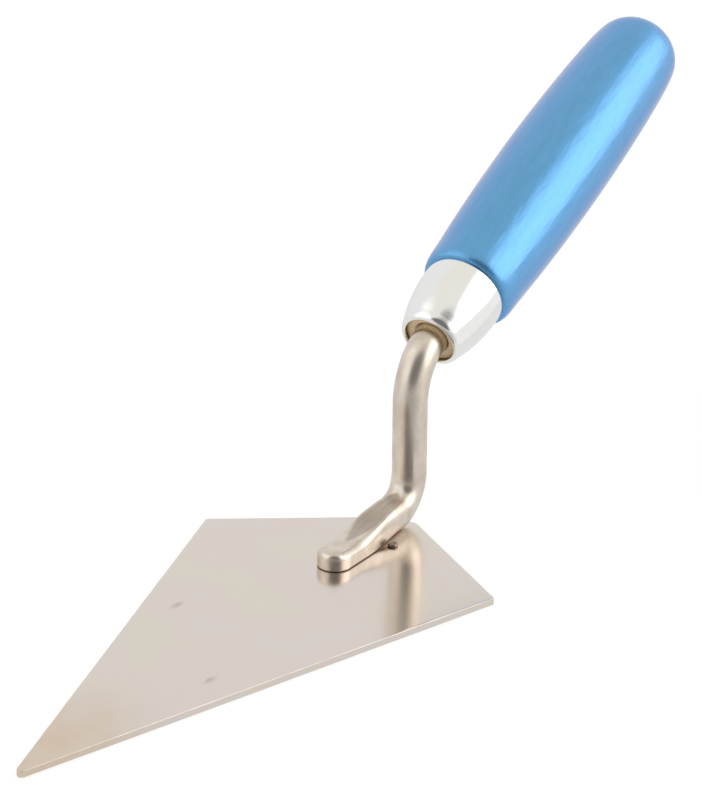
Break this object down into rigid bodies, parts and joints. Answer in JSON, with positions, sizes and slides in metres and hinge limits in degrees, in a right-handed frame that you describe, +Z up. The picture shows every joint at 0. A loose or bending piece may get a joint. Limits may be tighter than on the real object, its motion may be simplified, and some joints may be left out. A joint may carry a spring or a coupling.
{
  "type": "brick trowel",
  "caption": "Pointed bricklaying trowel: flat kite-shaped steel blade, cranked rod shank welded on by a flattened foot, plated ferrule and turned, lacquered wooden handle.",
  "frame": {"origin": "on the blade's flat underside, midway between the blade's two side corners", "axes": "+X along the blade's middle line towards its point, +Y across the blade to the tool's left, +Z up out of the blade's top face, the side the shank stands on"},
  "size_m": [0.2938, 0.0846, 0.1099],
  "materials": {
    "blade_steel": "polished sheet steel, warm grey, blurred mirror",
    "shank_steel": "satin forged rod, warm grey",
    "weld_metal": "dull, heat-darkened weld metal",
    "ferrule_plate": "bright plated cap",
    "handle_lacquer": "turned wood under glossy blue metallic lacquer"
  },
  "bodies": {
    "root": {"blade": "blade_steel", "shank": "shank_steel", "weld_bead": "weld_metal", "ferrule": "ferrule_plate", "handle": "handle_lacquer"}
  },
  "joints": []
}
